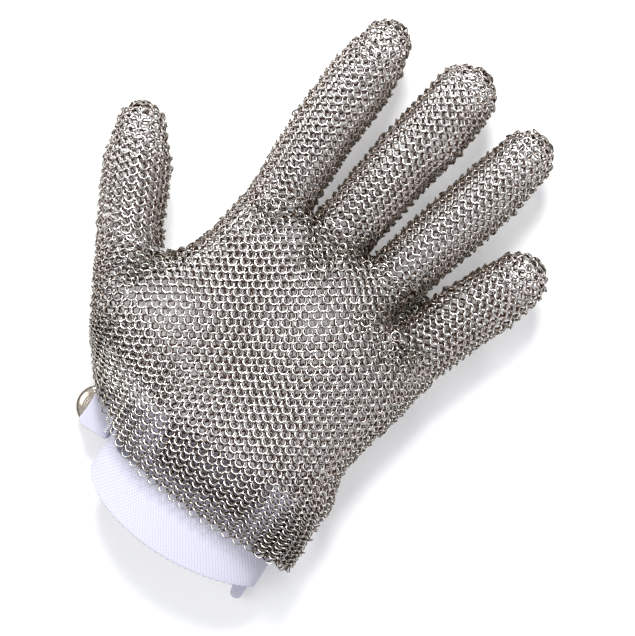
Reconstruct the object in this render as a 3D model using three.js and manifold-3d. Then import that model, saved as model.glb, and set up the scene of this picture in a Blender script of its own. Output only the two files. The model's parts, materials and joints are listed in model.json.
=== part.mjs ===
// Five-finger ring-mesh (chain mail) glove with a textile wrist strap and a snap fastener.
// Millimetres. +Z points out of the palm, +Y from the wrist to the fingertips, +X towards the
// little finger. The glove keeps its worn, filled shape and lies on the back of the hand.
// Every length of ring mesh is a thin shell: the sheet that the linked rings fill.

import * as THREE from 'three';
import { mergeVertices } from 'three/addons/utils/BufferGeometryUtils.js';
import Module from 'manifold-3d';

const wasm = await Module();
wasm.setup();

// ---------------------------------------------------------------- driving dimensions

const MESH_WALL = 1.8;         // thickness of the four-in-one ring sheet
const SEAM_GAP = 0.4;          // clearance between neighbouring lengths of mesh
const PALM_HALF_DEPTH = 17;    // filled palm, middle to front or back
const KNUCKLE_HALF_DEPTH = 12.6;
const REST_PLANE = -16.4;      // the flat that the back of the hand lies on
const PALM_SQUARENESS = 2.6;   // exponent of the palm's super-ellipse section
const TUBE_SIDES = 18;         // ring columns round a finger

const PALM_SPLIT_ROW = 74;     // row where the thumb leaves the palm
const CROTCH_ROW = 104.5;      // row where index, middle and ring leave the palm
const LITTLE_CROTCH_ROW = 95;  // the little finger is set lower

// The band is narrower on the palm side, where its lower edge also dips.
const BAND = { x: -3, a: 35, b: 12, thick: 1.6, width: 27, narrow: 6, low: -4, dip: 11.4, corner: 4.7 };
const STRAP = { width: 15, thick: 1.5, clear: 0.4, yLow: 5.5, tabEnd: -51, slope: 0.16 };
const SNAP = { x: -47.4, y: 13.1, capR: 7.6, capH: 3.6, socketR: 6.2, ballR: 2.0, holeR: 2.35 };

const STEEL_MESH = { color: 0xb4b2ae, roughness: 0.3, metalness: 1 };
const POLISHED = { color: 0xd8d4cc, roughness: 0.08, metalness: 1 };
const WEBBING = { color: 0xeceaf6, roughness: 0.9, metalness: 0 };
const THREAD = { color: 0xf4f3fb, roughness: 0.8, metalness: 0 };

// Centre lines [x, y, z] with the outside half width at each point, root to tip.
const DIGITS = {
  index: {
    line: [[-33.2, 106, 0], [-33.4, 122, 0], [-33.3, 140, 0], [-32.3, 158, 0], [-31.4, 182, 0]],
    half: [10.9, 11.4, 11.8, 12.0, 11.2],
    base: [0.3, 16.6], knuckle: [29.6, 48.6],
  },
  middle: {
    line: [[-8.7, 106.5, 0], [-7.0, 122, 0], [-4.6, 140, 0], [-1.4, 158, 0], [2.0, 185.5, 0]],
    half: [10.9, 11.4, 11.7, 12.2, 11.4],
    base: [0.3, 17.4], knuckle: [31.0, 50.4],
  },
  ring: {
    line: [[13.9, 101.5, 0], [17.3, 115.9, 0], [22.0, 134, 0], [26.3, 151, 0], [31.2, 176, 0]],
    half: [10.7, 11.1, 11.1, 11.1, 10.8],
    base: [0.6, 17.4], knuckle: [30.4, 49.4],
  },
  little: {
    line: [[34.8, 92.4, 0], [38.6, 102, 0], [43.6, 112.5, 0], [48.6, 123, 0], [53.0, 140, 0]],
    half: [10.7, 11.2, 11.5, 11.0, 10.4],
    base: [0.6, 14.2], knuckle: [20.0, 35.6],
  },
  thumb: {
    line: [[-68.3, 68.0, 0], [-72.4, 74.6, 1], [-76.8, 83.2, 2], [-81.6, 93.6, 3], [-92.2, 110.4, 4]],
    half: [11.6, 12.0, 12.2, 11.8, 10.0],
    base: [1.2, 13.4], knuckle: [21.4, 36.6],
  },
};

// ---------------------------------------------------------------- small helpers

const smooth = (low, high, t) => THREE.MathUtils.smoothstep(t, low, high);

// Straight-line look-up in a list of [key, value] pairs.
function table(pairs, key) {
  if (key <= pairs[0][0]) return pairs[0][1];
  for (let i = 1; i < pairs.length; i++) {
    const [k0, v0] = pairs[i - 1];
    const [k1, v1] = pairs[i];
    if (key <= k1) return v0 + (v1 - v0) * (key - k0) / (k1 - k0);
  }
  return pairs[pairs.length - 1][1];
}

const glove = new THREE.Group();

function addMesh(name, geometry, finish) {
  const mesh = new THREE.Mesh(geometry, new THREE.MeshStandardMaterial(finish));
  mesh.name = name;
  glove.add(mesh);
  return mesh;
}

// Volume with its sign, used to turn a closed shell's faces outwards.
function signedVolume(positions, faces) {
  const a = new THREE.Vector3();
  const b = new THREE.Vector3();
  const c = new THREE.Vector3();
  let six = 0;
  for (let i = 0; i < faces.length; i += 3) {
    a.fromArray(positions, 3 * faces[i]);
    b.fromArray(positions, 3 * faces[i + 1]);
    c.fromArray(positions, 3 * faces[i + 2]);
    six += a.dot(b.cross(c));
  }
  return six;
}

// A closed thin shell between two skins. skin(layer, i, j) gives a point: layer 0 is the outside,
// i runs across and j runs along. wrap joins the last column to the first, and pole closes the far
// end to one point on each skin.
function shell(columns, rows, skin, { wrap = false, pole = false } = {}) {
  const across = wrap ? columns : columns + 1;
  const along = pole ? rows : rows + 1;
  const positions = [];
  const index = [[], []];
  for (const layer of [0, 1]) {
    for (let j = 0; j < along; j++) {
      for (let i = 0; i < across; i++) {
        index[layer].push(positions.length / 3);
        positions.push(...skin(layer, i, j));
      }
    }
    if (pole) {
      index[layer].push(positions.length / 3);
      positions.push(...skin(layer, 0, rows));
    }
  }
  const at = (layer, i, j) => {
    if (pole && j === rows) return index[layer][across * rows];
    return index[layer][(wrap ? i % columns : i) + j * across];
  };
  const faces = [];
  const quad = (a, b, c, d) => {
    if (a !== b && b !== c && a !== c) faces.push(a, b, c);
    if (a !== c && c !== d && a !== d) faces.push(a, c, d);
  };
  for (let i = 0; i < columns; i++) {
    for (let j = 0; j < rows; j++) {
      quad(at(0, i, j), at(0, i + 1, j), at(0, i + 1, j + 1), at(0, i, j + 1));
      quad(at(1, i, j + 1), at(1, i + 1, j + 1), at(1, i + 1, j), at(1, i, j));
    }
    quad(at(1, i, 0), at(1, i + 1, 0), at(0, i + 1, 0), at(0, i, 0));
    if (!pole) quad(at(0, i, rows), at(0, i + 1, rows), at(1, i + 1, rows), at(1, i, rows));
  }
  if (!wrap) {
    for (let j = 0; j < rows; j++) {
      quad(at(0, 0, j), at(0, 0, j + 1), at(1, 0, j + 1), at(1, 0, j));
      quad(at(1, columns, j), at(1, columns, j + 1), at(0, columns, j + 1), at(0, columns, j));
    }
  }
  if (signedVolume(positions, faces) < 0) faces.reverse();
  const geometry = new THREE.BufferGeometry();
  geometry.setAttribute('position', new THREE.Float32BufferAttribute(positions, 3));
  geometry.setIndex(faces);
  return geometry;
}

// ---------------------------------------------------------------- palm and back of the hand

// Ring rows run across the hand and fall away towards the little finger and the thumb, so that
// they arrive square to each finger.
const FALL_RIGHT = { from: -20, rate: 0.0036, start: 10, full: 100 };
const FALL_LEFT = { from: -45, rate: 0.012, start: 15, full: 75 };

function rowY(row, x) {
  const right = Math.max(0, x - FALL_RIGHT.from);
  const left = Math.max(0, FALL_LEFT.from - x);
  const fallRight = FALL_RIGHT.rate * right * right * smooth(FALL_RIGHT.start, FALL_RIGHT.full, row);
  const fallLeft = FALL_LEFT.rate * left * left * smooth(FALL_LEFT.start, FALL_LEFT.full, row);
  return row - fallRight - fallLeft;
}

// Outside edges of the palm by row.
const PALM_LEFT = [[2, -42], [9, -43], [19, -51], [30, -59.4], [47.5, -69], [62, -74.6], [74, -78.6]];
const KNUCKLE_LEFT = [[74, -52.6], [77, -51], [86, -48.2], [98, -45.9], [110, -44.9]];
const PALM_RIGHT = [[3, 38.6], [20, 39.8], [28, 40], [41, 36.6], [56, 37.9], [72.7, 41.3],
  [87.4, 43.2], [102, 46.8]];

function halfDepth(row) {
  return THREE.MathUtils.lerp(PALM_HALF_DEPTH, KNUCKLE_HALF_DEPTH, smooth(68, 98, row));
}

// The back of the wrist is shallower, so that the mesh passes inside the band there.
function underBand(depth, row, x, inset) {
  const reach = Math.abs(x - BAND.x);
  const room = Math.sqrt(Math.max(0, 1 - (reach / (BAND.a - BAND.thick)) ** 2));
  const wrist = Math.max(0.4, (BAND.b - BAND.thick) * room - 0.9 - inset);
  const taper = (1 - smooth(34, 50, row)) * (1 - smooth(28, 35, reach));
  return THREE.MathUtils.lerp(depth, Math.min(depth, wrist), taper);
}

// One side of the hand between two rows. side is +1 for the palm, -1 for the back.
function handPanel(side, leftEdge, rowLow, rowHigh, columns, rows) {
  return shell(columns, rows, (layer, i, j) => {
    const angle = Math.PI * (1 - i / columns);
    const inset = layer * MESH_WALL;
    const power = 2 / PALM_SQUARENESS;
    const sweep = Math.sign(Math.cos(angle)) * Math.abs(Math.cos(angle)) ** power;
    const fraction = (sweep + 1) / 2;
    const low = rowLow(fraction);
    const row = low + (rowHigh(fraction) - low) * j / rows;
    const left = table(leftEdge, row) + inset;
    const right = table(PALM_RIGHT, row) - inset;
    const x = left + (right - left) * fraction;
    const filled = (halfDepth(row) - inset) * Math.abs(Math.sin(angle)) ** power;
    const depth = side > 0 ? filled : Math.min(-REST_PLANE - inset, underBand(filled, row, x, inset));
    const z = side * depth;
    return [x, rowY(row, x), z + side * SEAM_GAP / 2];
  });
}

// The mesh's lower edge. The back has a tongue between slits, which passes inside the wrist band.
const wristRowPalm = (f) => 3 + 21 * Math.max(0, 1 - f / 0.42) ** 1.8;
const wristRowBack = (f) => 27 - 20 * smooth(0.31, 0.36, f) + 20 * smooth(0.66, 0.7, f)
  + 7 * smooth(0.78, 0.95, f);
const splitRow = () => PALM_SPLIT_ROW;
const splitRowUp = () => PALM_SPLIT_ROW + SEAM_GAP;
const crotchRow = (f) => CROTCH_ROW - (CROTCH_ROW - LITTLE_CROTCH_ROW) * smooth(0.64, 0.78, f);

addMesh('palm_front_mesh', handPanel(1, PALM_LEFT, wristRowPalm, splitRow, 22, 8), STEEL_MESH);
addMesh('palm_back_mesh', handPanel(-1, PALM_LEFT, wristRowBack, splitRow, 22, 8), STEEL_MESH);
addMesh('knuckle_front_mesh', handPanel(1, KNUCKLE_LEFT, splitRowUp, crotchRow, 18, 4), STEEL_MESH);
addMesh('knuckle_back_mesh', handPanel(-1, KNUCKLE_LEFT, splitRowUp, crotchRow, 18, 4), STEEL_MESH);

// ---------------------------------------------------------------- fingers and thumb

// Stations along a digit at the given distances from its root.
function digitStations(digit) {
  const curve = new THREE.CatmullRomCurve3(digit.line.map((p) => new THREE.Vector3(...p)));
  const length = curve.getLength();
  return {
    length,
    at(distance) {
      const u = THREE.MathUtils.clamp(distance / length, 0, 1);
      const centre = curve.getPointAt(u);
      const along = curve.getTangentAt(u);
      const side = new THREE.Vector3(along.y, -along.x, 0).normalize();
      const up = new THREE.Vector3().crossVectors(side, along).normalize();
      const spans = digit.half.length - 1;
      const k = Math.min(spans - 1, Math.floor(curve.getUtoTmapping(u) * spans));
      const part = curve.getUtoTmapping(u) * spans - k;
      return { centre, along, side, up, half: THREE.MathUtils.lerp(digit.half[k], digit.half[k + 1], part) };
    },
  };
}

function around(station, radius, i) {
  const angle = 2 * Math.PI * i / TUBE_SIDES;
  return station.centre.clone()
    .addScaledVector(station.side, radius * Math.cos(angle))
    .addScaledVector(station.up, 0.97 * radius * Math.sin(angle));
}

function tube(digit, from, to, rows) {
  const stations = digitStations(digit);
  return shell(TUBE_SIDES, rows, (layer, i, j) => {
    const station = stations.at(from + (to - from) * j / rows);
    return around(station, station.half - layer * MESH_WALL, i).toArray();
  }, { wrap: true });
}

// The closed end: straight from the last knuckle, then a dome.
function thimble(digit, from) {
  const stations = digitStations(digit);
  const domeSteps = 4;
  return shell(TUBE_SIDES, domeSteps + 1, (layer, i, j) => {
    const end = stations.length - layer * MESH_WALL;
    const shoulder = stations.length - stations.at(stations.length).half;
    const turn = Math.PI / 2 * Math.max(0, j - 1) / domeSteps;
    const distance = j === 0 ? from : shoulder + (end - shoulder) * Math.sin(turn);
    const station = stations.at(distance);
    const radius = (station.half - layer * MESH_WALL) * Math.cos(turn);
    return j > domeSteps ? station.centre.toArray() : around(station, radius, i).toArray();
  }, { wrap: true, pole: true });
}

for (const [name, digit] of Object.entries(DIGITS)) {
  const [baseFrom, baseTo] = digit.base;
  const [kneeFrom, kneeTo] = digit.knuckle;
  addMesh(`${name}_base_gusset`, tube(digit, baseFrom, baseTo, 2), STEEL_MESH);
  addMesh(`${name}_base_mesh`, tube(digit, baseTo + SEAM_GAP, kneeFrom - SEAM_GAP, 1), STEEL_MESH);
  addMesh(`${name}_knuckle_gusset`, tube(digit, kneeFrom, kneeTo, 2), STEEL_MESH);
  addMesh(`${name}_tip_mesh`, thimble(digit, kneeTo + SEAM_GAP), STEEL_MESH);
}

// ---------------------------------------------------------------- wrist band

// How far the lower edge hangs: it ends in a lower corner on the little-finger side.
function bandDip(angle) {
  const front = Math.max(0, Math.sin(angle));
  if (Math.cos(angle) < 0) return BAND.dip * front ** 1.2;
  const back = Math.max(0, -Math.sin(angle));
  return BAND.corner * (1 - smooth(0, 0.8, back)) + (BAND.dip - BAND.corner) * front ** 1.8;
}

function bandGeometry() {
  return shell(40, 1, (layer, i, j) => {
    const angle = 2 * Math.PI * i / 40;
    const lowered = (BAND.dip + BAND.narrow) * smooth(-0.5, 0.62, Math.sin(angle));
    const y = j > 0 ? BAND.low + BAND.width - lowered : BAND.low - bandDip(angle);
    const inset = layer * BAND.thick;
    return [
      BAND.x + (BAND.a - inset) * Math.cos(angle),
      y,
      (BAND.b - inset) * Math.sin(angle),
    ];
  }, { wrap: true });
}

addMesh('wrist_band', bandGeometry(), WEBBING);

// ---------------------------------------------------------------- closing strap

// Height of the strap's middle, where it runs straight out past the thumb side of the wrist.
const LEAVE_ANGLE = THREE.MathUtils.degToRad(245);
const END_ANGLE = THREE.MathUtils.degToRad(318);
const strapOffset = STRAP.clear + STRAP.thick / 2;
const leaveX = BAND.x + (BAND.a + strapOffset) * Math.cos(LEAVE_ANGLE);
const leaveZ = (BAND.b + strapOffset) * Math.sin(LEAVE_ANGLE);
const strapZ = (x) => leaveZ - STRAP.slope * (x - leaveX);
const strapTilt = Math.atan(STRAP.slope);

function solid(geometry) {
  const plain = geometry.clone();
  plain.deleteAttribute('normal');
  plain.deleteAttribute('uv');
  const merged = mergeVertices(plain, 1e-4);
  return new wasm.Manifold(new wasm.Mesh({
    numProp: 3,
    vertProperties: Float32Array.from(merged.attributes.position.array),
    triVerts: Uint32Array.from(merged.index.array),
  }));
}

function fromSolid(body) {
  const mesh = body.getMesh();
  const geometry = new THREE.BufferGeometry();
  geometry.setAttribute('position', new THREE.Float32BufferAttribute(mesh.vertProperties, 3));
  geometry.setIndex(Array.from(mesh.triVerts));
  return geometry;
}

// A pin square to the tilted strap at the snap, long enough to cut right through.
function snapDrill(radius) {
  const drill = new THREE.CylinderGeometry(radius, radius, 6, 16);
  drill.rotateX(Math.PI / 2);
  drill.rotateY(strapTilt);
  drill.translate(SNAP.x, SNAP.y, strapZ(SNAP.x));
  return drill;
}

function closingStrap() {
  const wrap = [];
  const steps = 10;
  for (let i = 0; i <= steps; i++) {
    wrap.push(LEAVE_ANGLE + (END_ANGLE - LEAVE_ANGLE) * i / steps);
  }
  const outer = wrap.map((t) => [
    BAND.x + (BAND.a + STRAP.clear + STRAP.thick) * Math.cos(t),
    (BAND.b + STRAP.clear + STRAP.thick) * Math.sin(t),
  ]);
  const inner = wrap.map((t) => [
    BAND.x + (BAND.a + STRAP.clear) * Math.cos(t),
    (BAND.b + STRAP.clear) * Math.sin(t),
  ]);
  const halfThick = STRAP.thick / 2 / Math.cos(strapTilt);
  const outline = new THREE.Shape();
  outline.moveTo(STRAP.tabEnd, strapZ(STRAP.tabEnd) - halfThick);
  outer.forEach(([x, z]) => outline.lineTo(x, z));
  inner.reverse().forEach(([x, z]) => outline.lineTo(x, z));
  outline.lineTo(STRAP.tabEnd, strapZ(STRAP.tabEnd) + halfThick);
  outline.closePath();
  const strip = new THREE.ExtrudeGeometry(outline, { depth: STRAP.width, bevelEnabled: false });
  strip.rotateX(Math.PI / 2);
  strip.translate(0, STRAP.yLow + STRAP.width, 0);
  return fromSolid(solid(strip).subtract(solid(snapDrill(1.9))));
}

addMesh('closing_strap', closingStrap(), WEBBING);

// The strap's sewn end, folded down past the lower edge of the band on the little-finger side.
const STRAP_END = { x: 26.9, y: -2.9, z: -10.6 };

function strapEnd() {
  const tip = new THREE.Shape();
  tip.moveTo(-4, 6);
  tip.lineTo(4, 6);
  tip.lineTo(2.2, -12.2);
  tip.absarc(0, -12.2, 2.2, 0, -Math.PI, true);
  tip.closePath();
  const flap = new THREE.ExtrudeGeometry(tip, { depth: 1.2, bevelEnabled: false, curveSegments: 8 });
  flap.rotateZ(THREE.MathUtils.degToRad(7));
  flap.translate(STRAP_END.x, STRAP_END.y, 0);
  return flap;
}

addMesh('closing_strap_end', strapEnd(), WEBBING).position.z = STRAP_END.z;

// ---------------------------------------------------------------- stud tab (lifts off the socket)

// Everything on the tab is built flat round the snap's centre and tilted with the strap.
const TAB = { length: 11.2, layer: 0.7, space: 1.1, root: 7.6 };
const snapGap = 2.5;
const strapFace = STRAP.thick / 2;

function placeAtSnap(mesh, height) {
  mesh.position.set(SNAP.x, SNAP.y, strapZ(SNAP.x));
  mesh.rotation.y = strapTilt;
  mesh.translateZ(height);
  return mesh;
}

function tabLayer(holeRadius) {
  const half = STRAP.width / 2;
  const corner = 2;
  const left = TAB.root - TAB.length;
  const plate = new THREE.Shape();
  plate.moveTo(TAB.root, -half);
  plate.lineTo(TAB.root, half);
  plate.lineTo(left + corner, half);
  plate.absarc(left + corner, half - corner, corner, Math.PI / 2, Math.PI, false);
  plate.absarc(left + corner, -half + corner, corner, Math.PI, 1.5 * Math.PI, false);
  plate.closePath();
  if (holeRadius > 0) {
    const hole = new THREE.Path();
    hole.absarc(0, 0, holeRadius, 0, 2 * Math.PI, true);
    plate.holes.push(hole);
  }
  return new THREE.ExtrudeGeometry(plate, { depth: TAB.layer, bevelEnabled: false, curveSegments: 6 });
}

placeAtSnap(addMesh('stud_tab_inner_layer', tabLayer(1.9), WEBBING), strapFace + snapGap);
placeAtSnap(
  addMesh('stud_tab_outer_layer', tabLayer(0), WEBBING),
  strapFace + snapGap + TAB.layer + TAB.space,
);

// ---------------------------------------------------------------- snap fastener

function turned(points) {
  const profile = points.map(([r, z]) => new THREE.Vector2(r, z));
  const body = new THREE.LatheGeometry(profile, 20);
  body.rotateX(Math.PI / 2);
  const merged = body.clone();
  merged.deleteAttribute('normal');
  merged.deleteAttribute('uv');
  return mergeVertices(merged, 1e-4);
}

// Domed cap under the strap, with the barrel that passes up through the webbing.
function capGeometry() {
  const dome = [[0, -SNAP.capH]];
  for (const t of [25, 50, 72, 90]) {
    const angle = THREE.MathUtils.degToRad(t);
    dome.push([SNAP.capR * Math.sin(angle), -0.9 - (SNAP.capH - 0.9) * Math.cos(angle)]);
  }
  const barrelTop = STRAP.thick + 0.3;
  return turned([...dome, [SNAP.capR - 0.3, -0.15], [SNAP.capR - 1, 0], [1.5, 0], [1.5, barrelTop],
    [0, barrelTop]]);
}

placeAtSnap(addMesh('snap_cap', capGeometry(), POLISHED), -strapFace - 0.3);

// Socket ring on the inner face of the strap: the stud's ball clicks into its hole.
const SOCKET_HEIGHT = 1.35;
const socket = turned([[SNAP.holeR, 0], [SNAP.socketR, 0], [SNAP.socketR, 0.9],
  [SNAP.socketR - 0.8, SOCKET_HEIGHT], [SNAP.holeR, SOCKET_HEIGHT], [SNAP.holeR, 0]]);
placeAtSnap(addMesh('snap_socket', socket, POLISHED), strapFace + 0.3);

// Stud with its ball, and the eyelet that grips it through the tab's inner layer.
const STUD_FLANGE = 0.4;
const stud = turned([[0, -1.5], [SNAP.ballR - 0.4, -1.5], [SNAP.ballR, -1.1], [SNAP.ballR - 0.2, -0.4],
  [SNAP.ballR, 0], [5.2, 0], [5.2, STUD_FLANGE], [0, STUD_FLANGE]]);
placeAtSnap(addMesh('snap_stud', stud, POLISHED), strapFace + snapGap - STUD_FLANGE - 0.15);

const EYELET_HEAD = 0.4;
const eyelet = turned([[0, -TAB.layer - 0.1], [1.5, -TAB.layer - 0.1], [1.5, 0.3], [4.5, 0.3],
  [4.5, 0.3 + EYELET_HEAD], [0, 0.3 + EYELET_HEAD]]);
placeAtSnap(addMesh('snap_eyelet', eyelet, POLISHED), strapFace + snapGap + TAB.layer);

// ---------------------------------------------------------------- stitching

// Bar tacks: short raised blocks of thread that hold the strap's ends.
function barTack(width, length, height) {
  return new THREE.BoxGeometry(width, length, height);
}

const endTack = addMesh('strap_end_bar_tack', barTack(2, 6, 0.5), THREAD);
endTack.position.set(STRAP_END.x, STRAP_END.y + 2.3, STRAP_END.z - 0.6);
const tabTack = addMesh('stud_tab_bar_tack', barTack(1.6, 11, 0.5), THREAD);
placeAtSnap(tabTack, strapFace + snapGap + 2 * TAB.layer + TAB.space + 0.6);
tabTack.translateX(TAB.root - 1.4);

// ---------------------------------------------------------------- place the glove on its base

glove.updateMatrixWorld(true);
const box = new THREE.Box3().setFromObject(glove, true);
glove.position.set(-(box.min.x + box.max.x) / 2, -(box.min.y + box.max.y) / 2, -box.min.z);

export default glove;
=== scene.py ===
"""Ring-mesh (chain mail) glove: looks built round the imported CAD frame.

The mesh is made ring by ring: every ring of the four-in-one weave is a torus on the glove's surface.
Design lengths are millimetres in the hand's own frame; to_frame() moves them to the row frame.
"""

import json
import math

import bpy
import numpy as np
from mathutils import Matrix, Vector


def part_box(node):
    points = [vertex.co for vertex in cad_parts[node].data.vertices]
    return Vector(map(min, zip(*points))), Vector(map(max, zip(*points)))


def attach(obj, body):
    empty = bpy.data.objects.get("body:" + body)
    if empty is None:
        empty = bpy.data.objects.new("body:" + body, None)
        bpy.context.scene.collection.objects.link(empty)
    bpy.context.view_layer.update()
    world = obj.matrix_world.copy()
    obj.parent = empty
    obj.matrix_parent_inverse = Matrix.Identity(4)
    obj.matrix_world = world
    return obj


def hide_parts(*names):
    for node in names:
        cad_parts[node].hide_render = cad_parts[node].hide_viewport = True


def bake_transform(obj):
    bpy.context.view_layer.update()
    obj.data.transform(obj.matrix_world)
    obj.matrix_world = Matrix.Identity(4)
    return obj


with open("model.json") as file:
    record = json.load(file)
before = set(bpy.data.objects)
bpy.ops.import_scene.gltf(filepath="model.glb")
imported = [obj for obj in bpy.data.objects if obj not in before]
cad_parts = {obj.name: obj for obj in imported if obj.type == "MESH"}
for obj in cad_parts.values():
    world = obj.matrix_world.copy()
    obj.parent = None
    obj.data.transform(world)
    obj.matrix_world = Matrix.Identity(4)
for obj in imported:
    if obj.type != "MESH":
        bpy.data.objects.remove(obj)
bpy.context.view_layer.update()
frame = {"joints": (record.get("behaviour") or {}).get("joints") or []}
rng = np.random.default_rng(20)

# ---- the hand's frame

BAND = {"x": -3.0, "a": 35.0, "b": 12.0, "thick": 1.6, "width": 27.0, "narrow": 6.0, "low": -4.0,
        "dip": 11.4, "corner": 4.7}
BAND_LOW = BAND["low"] - BAND["dip"]
band_low, band_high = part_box("wrist_band")
ORIGIN = np.array([
    (band_low.x + band_high.x) * 500 - BAND["x"],
    band_low.y * 1000 - BAND_LOW,
    (band_low.z + band_high.z) * 500,
])


def to_frame(points):
    """Millimetres in the hand's frame to metres in the row frame."""
    return (np.asarray(points, float) + ORIGIN) / 1000.0


def add_object(name, data):
    obj = bpy.data.objects.new(name, data)
    bpy.context.scene.collection.objects.link(obj)
    return obj


# ---- camera

VIEW_CENTRE = (-0.1, 81.0, 0.0)   # what the middle of the picture looks at
VIEW_SPAN = 219.3                 # millimetres across the picture there
VIEW_ROLL = 33.0                  # the hand points up and to the right
LENS = 100.0
SENSOR = 36.0


def make_camera():
    data = bpy.data.cameras.new("camera")
    data.lens = LENS
    data.sensor_width = SENSOR
    cam = add_object("camera", data)
    distance = VIEW_SPAN / SENSOR * LENS
    x, y, z = VIEW_CENTRE
    cam.location = Vector(to_frame([x, y, z + distance]))
    cam.rotation_euler = (0, 0, math.radians(VIEW_ROLL))
    bpy.context.scene.camera = cam


make_camera()

# ---- glove surface

RING_HALF = 0.9        # the ring sheet's half thickness, so outlines lie inside the silhouette
CELL = 0.5             # grid step
FILL_LENGTH = 9.5      # how far from an edge the hand reaches its full depth
DEPTH_SCALE = 1.69     # height of the filled surface
REST_DEPTH = 15.5      # the back of the hand lies flat at this depth
FLESH = [(-52, 45, 13, 0.16), (20, 38, 13, 0.10), (-14, 52, 14, -0.09), (-30, 99, 9, 0.10),
         (-5, 99, 9, 0.08), (18, 93, 9, 0.10)]   # swellings: place, spread, share of the height
GRID_LOW = (-106.0, -32.0)
GRID_SIZE = (352, 464)

# Centre lines [x, y] with the outside half width, root to tip.
DIGITS = {
    "index": [(-33.2, 96, 11.2), (-33.4, 116, 11.4), (-33.6, 136, 11.8), (-32.4, 157, 12.0),
              (-31.7, 165.5, 10.9), (-31.5, 172.4, 8.9)],
    "middle": [(-9.6, 98, 11.0), (-7.9, 116.5, 11.4), (-6.1, 129, 11.6), (-4.3, 142.6, 11.9),
               (-1.3, 156, 12.3), (0.7, 171.9, 11.7)],
    "ring": [(13.0, 97, 10.6), (17.3, 116, 11.0), (20.9, 129, 11.2), (26.1, 148, 11.2),
             (30.1, 165.6, 10.1)],
    "little": [(31.5, 81, 10.8), (37.4, 96, 11.4), (41.9, 109, 11.6), (46.7, 118.6, 11.7),
               (50.7, 128.9, 10.3)],
    "thumb": [(-58.5, 51.5, 12.4), (-67.6, 66.0, 11.9), (-72.6, 74.1, 11.5), (-76.7, 83, 12.2),
              (-81.0, 92, 12.0), (-86.2, 102.6, 9.1)],
}

# Outline of the palm, little-finger side first.
PALM = [(38, -32), (38, 3), (38.6, 12), (39.6, 22), (38.6, 31), (36.2, 38), (36.4, 45),
        (38.6, 56), (41.2, 66), (42.8, 76), (45, 85), (34, 92), (22.6, 93.4), (14, 104), (4, 108.4),
        (-8, 110), (-20.5, 110.6), (-33, 108), (-44, 104), (-45.2, 97), (-46.8, 87), (-49, 80),
        (-53.2, 75.2), (-57, 72.2), (-68, 66), (-76.4, 60), (-72.4, 52), (-68, 44), (-62.4, 35.4),
        (-56, 27), (-49.6, 19.4), (-44.6, 13), (-41, 7), (-39.5, 0), (-39, -32)]


def unit(vectors):
    return vectors / np.maximum(np.linalg.norm(vectors, axis=-1, keepdims=True), 1e-6)


def table(pairs, t):
    xs, ys = zip(*pairs)
    return np.interp(t, xs, ys)


def circle(count):
    return 2 * math.pi * np.arange(count) / count


def smoothstep(low, high, t):
    t = np.clip((np.asarray(t, float) - low) / (high - low), 0, 1)
    return t * t * (3 - 2 * t)


def grid_points():
    xs = GRID_LOW[0] + CELL * np.arange(GRID_SIZE[0])
    ys = GRID_LOW[1] + CELL * np.arange(GRID_SIZE[1])
    return np.meshgrid(xs, ys, indexing="ij")


def inside_polygon(gx, gy, outline):
    inside = np.zeros(gx.shape, bool)
    for (x0, y0), (x1, y1) in zip(outline, outline[1:] + outline[:1]):
        if y0 == y1:
            continue
        crosses = (gy >= min(y0, y1)) & (gy < max(y0, y1))
        inside ^= crosses & (gx < x0 + (x1 - x0) * (gy - y0) / (y1 - y0))
    return inside


def inside_digit(gx, gy, line):
    inside = np.zeros(gx.shape, bool)
    for (x0, y0, r0), (x1, y1, r1) in zip(line, line[1:]):
        dx, dy = x1 - x0, y1 - y0
        t = np.clip(((gx - x0) * dx + (gy - y0) * dy) / (dx * dx + dy * dy), 0, 1)
        radius = r0 + (r1 - r0) * t - RING_HALF
        inside |= (gx - x0 - t * dx) ** 2 + (gy - y0 - t * dy) ** 2 < radius ** 2
    return inside


def relax(field, inside, cell, rounds):
    """Screened Poisson fill: zero at the outline, level in the middle of a wide area."""
    pull = (cell / FILL_LENGTH) ** 2
    for _ in range(rounds):
        total = np.zeros_like(field)
        total[1:] += field[:-1]
        total[:-1] += field[1:]
        total[:, 1:] += field[:, :-1]
        total[:, :-1] += field[:, 1:]
        field = np.where(inside, (total + cell * cell) / (4 + pull), 0.0)
    return field


def filled_hand():
    gx, gy = grid_points()
    inside = inside_polygon(gx, gy, PALM)
    for line in DIGITS.values():
        inside |= inside_digit(gx, gy, line)
    coarse = relax(np.zeros_like(gx[::4, ::4]), inside[::4, ::4], 4 * CELL, 260)
    middle = relax(np.kron(coarse, np.ones((2, 2))), inside[::2, ::2], 2 * CELL, 160)
    return relax(np.kron(middle, np.ones((2, 2))), inside, CELL, 160)


def bump(gx, gy, x, y, spread, height):
    return height * np.exp(-((gx - x) ** 2 + (gy - y) ** 2) / (2 * spread ** 2))


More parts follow.
